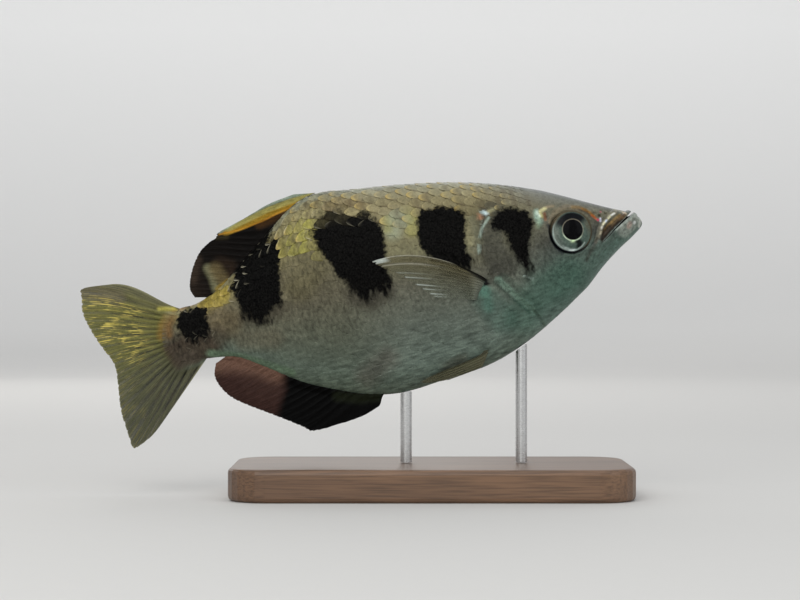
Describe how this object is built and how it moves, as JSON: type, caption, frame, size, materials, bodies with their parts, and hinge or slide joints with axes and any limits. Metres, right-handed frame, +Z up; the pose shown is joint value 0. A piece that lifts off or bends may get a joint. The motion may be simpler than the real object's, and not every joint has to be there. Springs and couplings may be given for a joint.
{
  "type": "archerfish model",
  "caption": "Life-size banded archerfish, mouth closed and fins spread, swimming nose up on rods over a flat wooden display base.",
  "frame": {"origin": "middle of the model's bounding box, at the underside of the stand's base", "axes": "+X the way the fish faces, along the base, +Y the fish's left, +Z up"},
  "size_m": [0.1756, 0.0618, 0.0978],
  "materials": {
    "skin": "wet, silvery scaled skin with black bars",
    "eye": "polished eye with a silver-green iris",
    "dark_fin": "black rayed fin membrane",
    "yellow_fin": "translucent yellow rayed fin membrane",
    "clear_fin": "clear to pale grey rayed fin membrane",
    "stand_wood": "dark oiled walnut",
    "stand_steel": "brushed steel rod"
  },
  "bodies": {
    "root": {"head": "skin", "lower_jaw": "skin", "gill_cover_left": "skin", "gill_cover_right": "skin", "trunk": "skin", "tail_stock": "skin", "eye_left": "eye", "eye_right": "eye", "dorsal_fin": "dark_fin", "anal_fin": "dark_fin", "caudal_fin": "yellow_fin", "pectoral_fin_left": "clear_fin", "pectoral_fin_right": "clear_fin", "pelvic_fin_left": "clear_fin", "pelvic_fin_right": "clear_fin", "stand_base": "stand_wood", "stand_rod_front": "stand_steel", "stand_rod_rear": "stand_steel"}
  },
  "joints": []
}
